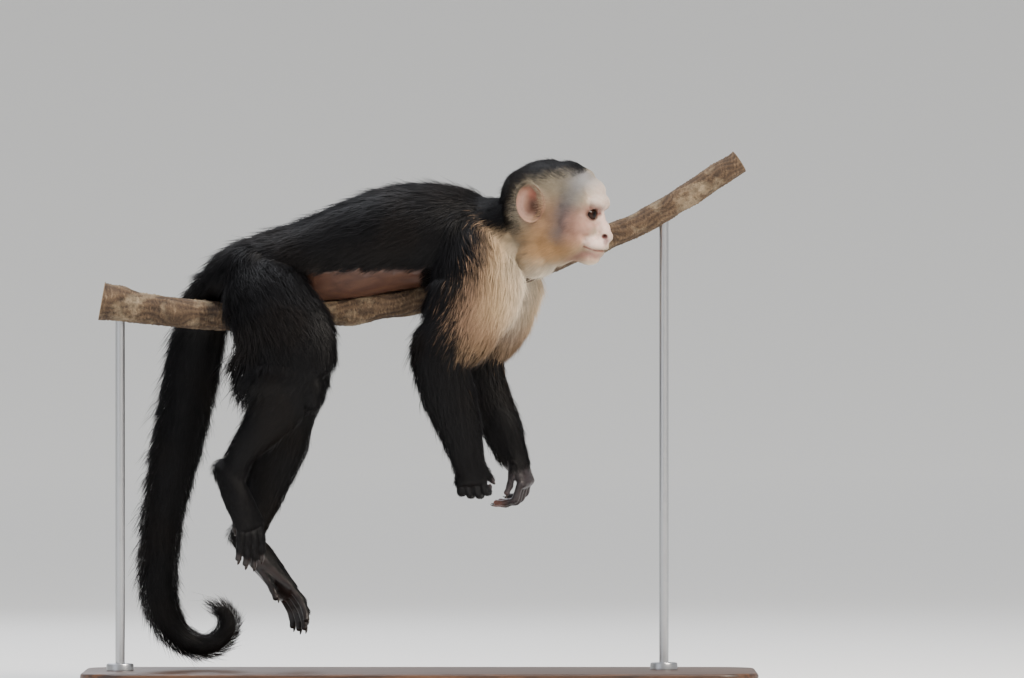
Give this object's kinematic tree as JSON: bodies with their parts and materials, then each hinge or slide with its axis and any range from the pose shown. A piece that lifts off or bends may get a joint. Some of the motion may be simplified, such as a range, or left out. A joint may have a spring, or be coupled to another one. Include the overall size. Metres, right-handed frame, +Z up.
{
  "type": "animal figure",
  "caption": "Life-size white-faced capuchin monkey lying along a short cut branch with its limbs and tail hanging, on a flat base with two slim rods.",
  "frame": {"origin": "centre of the base board's underside", "axes": "+X the way the animal faces, +Y to the animal's left, +Z up"},
  "size_m": [0.64, 0.24, 0.5113],
  "materials": {
    "black_coat": "short glossy black fur",
    "pale_coat": "short cream and buff fur, thin on the pink face",
    "dark_skin": "bare dark grey-brown skin and thin fur",
    "ear_skin": "bare pinkish skin",
    "eye": "wet dark brown eye",
    "bark": "weathered ridged bark",
    "base_wood": "satin dark wood",
    "rod_steel": "brushed"
  },
  "bodies": {
    "root": {"ear_left": "ear_skin", "ear_right": "ear_skin", "eye_left": "eye", "eye_right": "eye", "foot_left": "dark_skin", "foot_right": "dark_skin", "forearm_left": "black_coat", "forearm_right": "black_coat", "hand_left": "dark_skin", "hand_right": "dark_skin", "head": "pale_coat", "neck": "pale_coat", "perch_branch": "bark", "shank_left": "black_coat", "shank_right": "black_coat", "stand_base": "base_wood", "stand_collar_front": "rod_steel", "stand_collar_rear": "rod_steel", "stand_rod_front": "rod_steel", "stand_rod_rear": "rod_steel", "tail_base": "black_coat", "tail_end": "black_coat", "tail_middle": "black_coat", "thigh_left": "black_coat", "thigh_right": "black_coat", "trunk": "black_coat", "upper_arm_left": "black_coat", "upper_arm_right": "black_coat"}
  },
  "joints": []
}
